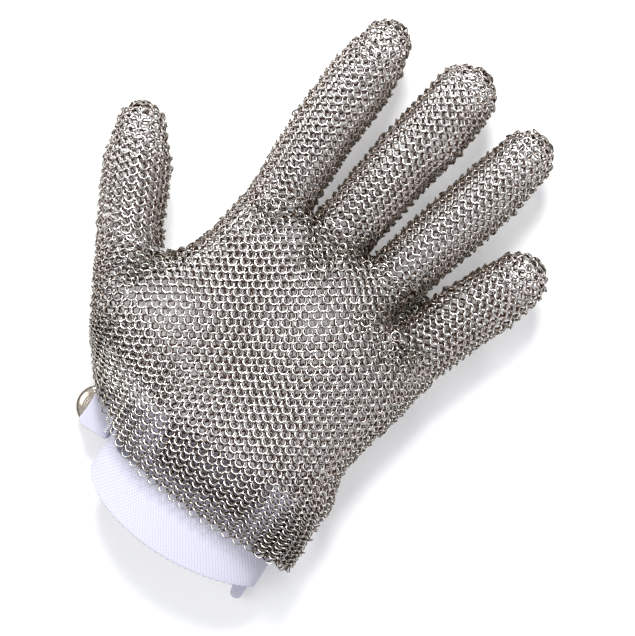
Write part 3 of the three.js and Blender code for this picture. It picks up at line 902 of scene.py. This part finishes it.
def slab(name, mid, out, half, relief, amount, loop=False):
    """Closed sheet round a grid of mid points: out is its unit normal, half its half thickness.
    Both faces carry the relief; the borders close edge to edge."""
    rows, cols = mid.shape[:2]
    lift = (half + amount * (relief - 1) * np.minimum(1, half / half.max()))[..., None]
    top, bottom = mid + out * lift, mid - out * lift
    points = np.concatenate([top.reshape(-1, 3), bottom.reshape(-1, 3)])
    index = np.arange(rows * cols).reshape(rows, cols)
    base = rows * cols
    nxt = np.roll(index, -1, axis=0) if loop else index[1:]
    cur = index if loop else index[:-1]
    faces = [grid_faces(cur, nxt), grid_faces(cur, nxt)[:, ::-1] + base]
    rims = [(cur[:, 0], nxt[:, 0], 1), (cur[:, -1], nxt[:, -1], -1)]
    if not loop:
        rims += [(index[0, :-1], index[0, 1:], -1), (index[-1, :-1], index[-1, 1:], 1)]
    for e0, e1, order in rims:
        faces.append(np.stack([e1, e0, e0 + base, e1 + base], -1)[:, ::order])
    obj = mesh_from(name, to_frame(points), np.concatenate(faces))
    obj.data.materials.append(fabric)
    # The relief also colours the fabric: painted shade in its hollows.
    set_float(obj, "relief", np.concatenate([relief.ravel(), relief.ravel()]))
    return obj


def edge_round(distance, half, radius):
    """Half thickness by distance from the nearest edge."""
    t = np.clip(distance / radius, 0.0, 1)
    return half * (0.25 + 0.75 * np.sqrt(t * (2 - t)))


def spread(values, across):
    """The same value at every point across the webbing."""
    return np.repeat(values[:, None], len(across), 1)


def stays(obj, body, slot, *nodes):
    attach(obj, body)
    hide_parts(*nodes)


BAND_STEPS = (560, 86)     # points round the band and across it
BAND_CELLS = 140           # weave cells round the band
BAND_TEETH = 66            # teeth of the sawn edge


def make_band():
    """The white band round the wrist: coarse weave, a sawn lower edge, lower on the palm side."""
    around = circle(640)
    middle = (BAND["a"] - BAND["thick"] / 2, BAND["b"] - BAND["thick"] / 2)
    x = BAND["x"] + middle[0] * np.cos(around)
    z = middle[1] * np.sin(around)
    ring = np.stack([x, z], -1)
    travel = walk(np.vstack([ring, ring[:1]]))
    length, travel = travel[-1], travel[:-1]
    even = np.arange(BAND_STEPS[0]) * length / BAND_STEPS[0]
    around = np.interp(even, np.append(travel, length), np.append(around, 2 * math.pi))
    front = np.maximum(0, np.sin(around))
    back = np.maximum(0, -np.sin(around))
    dip = np.where(np.cos(around) < 0, BAND["dip"] * front ** 1.2,
                   BAND["corner"] * (1 - smoothstep(0, 0.8, back))
                   + (BAND["dip"] - BAND["corner"]) * front ** 1.8)
    low = BAND["low"] - dip
    lowered = (BAND["dip"] + BAND["narrow"]) * smoothstep(-0.5, 0.62, np.sin(around))
    high = BAND["low"] + BAND["width"] - lowered
    tooth = length / BAND_TEETH
    saw = 0.5 * np.abs((even / tooth) % 1.0 - 0.5) * 2
    part = np.linspace(0, 1, BAND_STEPS[1])
    y = (low + saw)[:, None] + (high - low - saw)[:, None] * part[None]
    mid = np.stack([spread(BAND["x"] + middle[0] * np.cos(around), part), y,
                    spread(middle[1] * np.sin(around), part)], -1)
    out = np.stack([np.cos(around) / middle[0], 0 * around, np.sin(around) / middle[1]], -1)
    out = spread(unit(out), part)
    cell = length / BAND_CELLS
    relief = weave(even[:, None] + 0 * y, y - low[:, None], cell, 0.86)
    border = np.minimum(y - low[:, None], high[:, None] - y)
    selvedge = 1 - smoothstep(0.5, 1.6, border)
    cord = 0.55 + 0.25 * np.sin(even * 2 * math.pi / cell)[:, None]
    relief = relief * (1 - selvedge) + cord * selvedge
    half = edge_round(border, BAND["thick"] / 2, 0.6)
    obj = slab("band", mid, out, half, relief, 0.17, loop=True)
    stays(obj, "hand", "webbing", "wrist_band")


def strap_z(x):
    offset = STRAP["clear"] + STRAP["thick"] / 2
    leave_x = BAND["x"] + (BAND["a"] + offset) * math.cos(LEAVE_ANGLE)
    leave_z = (BAND["b"] + offset) * math.sin(LEAVE_ANGLE)
    return leave_z - STRAP["slope"] * (x - leave_x), leave_x


def make_strap():
    """The closing strap: straight past the thumb side, then round the back of the band."""
    offset = STRAP["clear"] + STRAP["thick"] / 2
    straight = np.linspace(STRAP["end"], strap_z(0)[1], 60)[:-1]
    turn = np.linspace(LEAVE_ANGLE, END_ANGLE, 80)
    path = np.vstack([
        np.stack([straight, strap_z(straight)[0]], -1),
        np.stack([BAND["x"] + (BAND["a"] + offset) * np.cos(turn),
                  (BAND["b"] + offset) * np.sin(turn)], -1)])
    travel = walk(path)
    even = np.linspace(0, travel[-1], 330)
    x, z = np.interp(even, travel, path[:, 0]), np.interp(even, travel, path[:, 1])
    tangent = unit(np.gradient(np.stack([x, z], -1), axis=0))
    t = np.linspace(-1, 1, 90)
    corner = 2.0 - np.sqrt(np.maximum(0, 4.0 - np.maximum(0, 2.0 - even) ** 2))
    y = STRAP["low"] + STRAP["width"] / 2 + (STRAP["width"] / 2 - corner)[:, None] * t[None]
    mid = np.stack([spread(x, t), y, spread(z, t)], -1)
    out = spread(np.stack([tangent[:, 1], 0 * even, -tangent[:, 0]], -1), t)
    to_end = np.minimum(even, even[-1] - even)[:, None]
    border = np.minimum(STRAP["width"] / 2 * (1 - np.abs(t))[None], to_end)
    relief = edged(weave(even[:, None] + 0 * y, y, 0.92, 0.8), border, 0.4, 1.2, 0.55)
    half = edge_round(border, STRAP["thick"] / 2, 0.6)
    obj = slab("strap", mid, -out, half, relief, 0.14)
    stays(obj, "hand", "webbing", "closing_strap")


def leaf(lengthwise, half_width, place, half, cell, amount, name):
    """Flat webbing leaf: lengthwise steps, half width at each, and a function to place its points."""
    t = np.linspace(-1, 1, 80)
    u = spread(lengthwise, t)
    v = half_width[:, None] * t[None]
    border = np.minimum(half_width[:, None] * (1 - np.abs(t))[None], np.minimum(
        np.abs(u - lengthwise[0]), np.abs(u - lengthwise[-1])))
    relief = edged(weave(u, v + 40, *cell), border, 0.3, 1.0, 0.6)
    mid, out = place(u, v)
    return slab(name, mid, out, edge_round(border, half, 0.5), relief, amount)


def make_strap_end():
    """The strap's sewn end: a narrow tip that shows below the band."""
    turn = math.radians(7)
    top, bottom, tip = 6, -12.2, 2.2
    steps = np.concatenate([np.linspace(top, bottom, 90),
                            bottom - tip * np.sin(np.linspace(0.1, 1.5, 12))])
    half_width = np.where(steps > bottom, np.interp(steps, [bottom, top], [tip, 4.0]),
                          np.sqrt(np.maximum(0.01, tip ** 2 - (steps - bottom) ** 2)))

    def place(u, v):
        x = v * math.cos(turn) - u * math.sin(turn) + STRAP_END[0]
        y = v * math.sin(turn) + u * math.cos(turn) + STRAP_END[1]
        return (np.stack([x, y, np.full_like(x, STRAP_END[2] + 0.6)], -1),
                np.broadcast_to([0.0, 0.0, 1.0], (*x.shape, 3)))

    obj = leaf(steps, half_width, place, 0.6, (0.9, 0.8), 0.1, "strap_tip")
    stays(obj, "hand", "webbing", "closing_strap_end")


SNAP_TILT = math.atan(STRAP["slope"])
SNAP_FACE = STRAP["thick"] / 2


def at_snap(x, y, z):
    """Points given flat round the snap, tilted with the strap."""
    c, s = math.cos(SNAP_TILT), math.sin(SNAP_TILT)
    height = strap_z(SNAP["x"])[0]
    return np.stack([SNAP["x"] + x * c + z * s, SNAP["y"] + y, height - x * s + z * c], -1)


def make_tab_layers():
    left = TAB["root"] - TAB["length"]
    steps = np.concatenate([left + 2 - 2 * np.cos(np.linspace(0.12, math.pi / 2, 12)),
                            np.linspace(left + 2.1, TAB["root"], 60)])
    rounded = np.sqrt(np.maximum(0, 4 - np.maximum(0, left + 2 - steps) ** 2))
    half_width = STRAP["width"] / 2 - 2 + rounded
    heights = {
        "inner": SNAP_FACE + TAB["gap"] + TAB["layer"] / 2,
        "outer": SNAP_FACE + TAB["gap"] + 1.5 * TAB["layer"] + TAB["space"],
    }
    for layer, height in heights.items():
        def place(u, v):
            out = np.array([math.sin(SNAP_TILT), 0, math.cos(SNAP_TILT)])
            return at_snap(u, v, np.full_like(u, height)), np.broadcast_to(out, (*u.shape, 3))

        obj = leaf(steps, half_width, place, TAB["layer"] / 2, (0.62, 0.52), 0.05, f"tab_{layer}")
        stays(obj, "stud_tab", "webbing", f"stud_tab_{layer}_layer")


# ---- snap fastener


def turned_piece(name, profile, height, body, node):
    """A turned metal part: profile points (radius, height) closed on themselves round the snap axis."""
    profile = np.array(profile, float)
    steps = 72
    turn = circle(steps)
    x = profile[None, :, 0] * np.cos(turn)[:, None]
    y = profile[None, :, 0] * np.sin(turn)[:, None]
    z = np.repeat(profile[None, :, 1], steps, 0) + height
    points = at_snap(x, y, z).reshape(-1, 3)
    count = len(profile)
    index = np.arange(steps * count).reshape(steps, count)
    obj = mesh_from(name, to_frame(points), grid_faces(index, np.roll(index, -1, axis=0)))
    obj.data.materials.append(plated)
    stays(obj, body, "snap_steel", node)


def arc(cx, cz, r, start, end, count=8, squash=1.0):
    turn = np.radians(np.linspace(start, end, count))
    return [(cx + r * math.cos(t), cz + squash * r * math.sin(t)) for t in turn]


def make_snap():
    cap = SNAP["cap"]
    dome = [(cap * math.sin(t), -1.7 - (SNAP["cap_height"] - 1.7) * math.cos(t))
            for t in np.radians(np.linspace(0.5, 88, 24))]
    rolled = arc(cap - 3.6, -1.7, 3.6, 2, 96, 22, squash=0.45)
    turned_piece("cap", dome + rolled + [(2.6, -0.1), (1.5, -0.1), (1.5, 1.8), (0.01, 1.8)],
                 -SNAP_FACE - 0.3, "hand", "snap_cap")
    hole, outer = SNAP["hole"], SNAP["socket"]
    turned_piece("socket", [(hole, 0.0), (outer - 0.3, 0.0)]
                 + arc(outer - 0.35, 0.35, 0.35, -80, 60, 7)
                 + [(outer - 0.9, 0.72), (outer - 1.9, 0.78)]
                 + arc(hole + 0.75, 0.78, 0.55, 20, 170, 9)
                 + [(hole, 0.8), (hole, 0.0)], SNAP_FACE + 0.3, "hand", "snap_socket")
    ball = SNAP["ball"]
    turned_piece("stud", [(0.01, -1.5)] + arc(ball - 0.55, -0.95, 0.55, -90, 40, 8)
                 + [(ball - 0.3, -0.3), (ball, 0.0), (4.9, 0.0)]
                 + arc(5.0, 0.2, 0.2, -90, 90, 6) + [(0.01, 0.4)],
                 SNAP_FACE + TAB["gap"] - 0.55, "stud_tab", "snap_stud")
    turned_piece("eyelet", [(0.01, -0.8), (1.5, -0.8), (1.5, 0.3), (4.1, 0.3)]
                 + arc(4.3, 0.5, 0.2, -90, 90, 6) + [(2.0, 0.7), (1.3, 0.5), (0.01, 0.5)],
                 SNAP_FACE + TAB["gap"] + TAB["layer"], "stud_tab", "snap_eyelet")


# ---- stitching


def stitches(name, centres, place, reach, radius, body, node):
    """A bar tack: thread legs laid side by side in a zigzag."""
    points, faces, relief = [], [], []
    sides, steps = 8, 9
    for k, (cx, cy) in enumerate(centres):
        lean = 0.16 * (1 if k % 2 else -1)
        for i in range(steps):
            t = -1 + 2 * i / (steps - 1)
            swell = math.sqrt(max(0.03, 1 - t ** 6))
            for j in range(sides):
                a = 2 * math.pi * j / sides
                points.append((cx + t * reach, cy + lean * t + radius * swell * math.cos(a),
                               radius * swell * math.sin(a) * 1.1 + 0.08 * (1 - t * t)))
                # Painted shade: the thread is coloured darker on its lower side.
                relief.append(0.5 + 0.5 * math.sin(a))
        base = k * sides * steps
        for i in range(steps - 1):
            for j in range(sides):
                j2 = (j + 1) % sides
                faces.append((base + i * sides + j, base + i * sides + j2,
                              base + (i + 1) * sides + j2, base + (i + 1) * sides + j))
        for i, order in ((0, 1), (steps - 1, -1)):
            ring = [base + i * sides + j for j in range(sides)]
            for j in range(1, sides - 2, 2):
                quad = (ring[0], ring[j], ring[j + 1], ring[j + 2])
                faces.append(quad[::-1] if order > 0 else quad)
    points = np.array(points)
    obj = mesh_from(name, to_frame(place(points)), faces)
    obj.data.materials.append(cotton)
    set_float(obj, "relief", relief)
    stays(obj, body, "thread", node)


def make_stitching():
    height = SNAP_FACE + TAB["gap"] + 2 * TAB["layer"] + TAB["space"] + 0.62
    stitches("tab_tack", [(0.0, y) for y in np.linspace(-5.3, 5.3, 27)],
             lambda p: at_snap(p[:, 0] + TAB["root"] - 1.4, p[:, 1], p[:, 2] + height),
             0.75, 0.2, "stud_tab", "stud_tab_bar_tack")
    stitches("end_tack", [(0.0, y) for y in np.linspace(-2.8, 2.8, 15)],
             lambda p: np.stack([p[:, 0] + STRAP_END[0], p[:, 1] + STRAP_END[1] + 2.3,
                                   STRAP_END[2] - 0.6 + p[:, 2]], -1),
             0.95, 0.2, "hand", "strap_end_bar_tack")


make_band()
make_strap()
make_strap_end()
make_tab_layers()
make_snap()
make_stitching()

# ---- floor and light


def make_stage():
    size = 3.0
    floor = mesh_from("floor", [(-size, -size, 0), (size, -size, 0), (size, size, 0), (-size, size, 0)],
                      [(0, 1, 2, 3)], smooth=False)
    material, _, _, shader = new_material("floor_white")
    set_inputs(shader, {"Base Color": (0.88, 0.88, 0.88, 1), "Roughness": 0.9,
                        "Emission Color": (1, 1, 1, 1), "Emission Strength": 0.16})
    floor.data.materials.append(material)
    floor.location.z = -0.0004


def area_light(name, azimuth, elevation, distance, size, power):
    """A disc light aimed at the glove; azimuth is counted from the frame's +X."""
    data = bpy.data.lights.new(name, "AREA")
    data.shape = "DISK"
    data.size = size
    data.energy = power
    light = add_object(name, data)
    a, e = math.radians(azimuth), math.radians(elevation)
    light.location = (distance * math.cos(e) * math.cos(a), distance * math.cos(e) * math.sin(a),
                      distance * math.sin(e))
    light.rotation_mode = "QUATERNION"
    light.rotation_quaternion = (-light.location).to_track_quat("-Z", "Y")


def make_light():
    """A soft key from between fingertips and thumb, in a room that darkens to the horizon."""
    world = bpy.data.worlds.new("studio")
    bpy.context.scene.world = world
    world.use_nodes = True
    nodes, links = world.node_tree.nodes, world.node_tree.links
    coords = nodes.new("ShaderNodeTexCoord")
    split = nodes.new("ShaderNodeSeparateXYZ")
    links.new(coords.outputs["Generated"], split.inputs["Vector"])
    ramp = nodes.new("ShaderNodeValToRGB")
    set_ends(ramp, (0.1, (0.03, 0.028, 0.026)), (0.8, (0.9, 0.91, 0.95)))
    links.new(split.outputs["Z"], ramp.inputs["Fac"])
    links.new(ramp.outputs["Color"], nodes["Background"].inputs["Color"])
    nodes["Background"].inputs["Strength"].default_value = 0.9
    area_light("key", 118, 50, 1.0, 0.36, 10.0)
    area_light("fill", 200, 62, 1.0, 0.5, 2.5)
    bpy.context.scene.view_settings.view_transform = "Standard"


make_stage()
make_light()
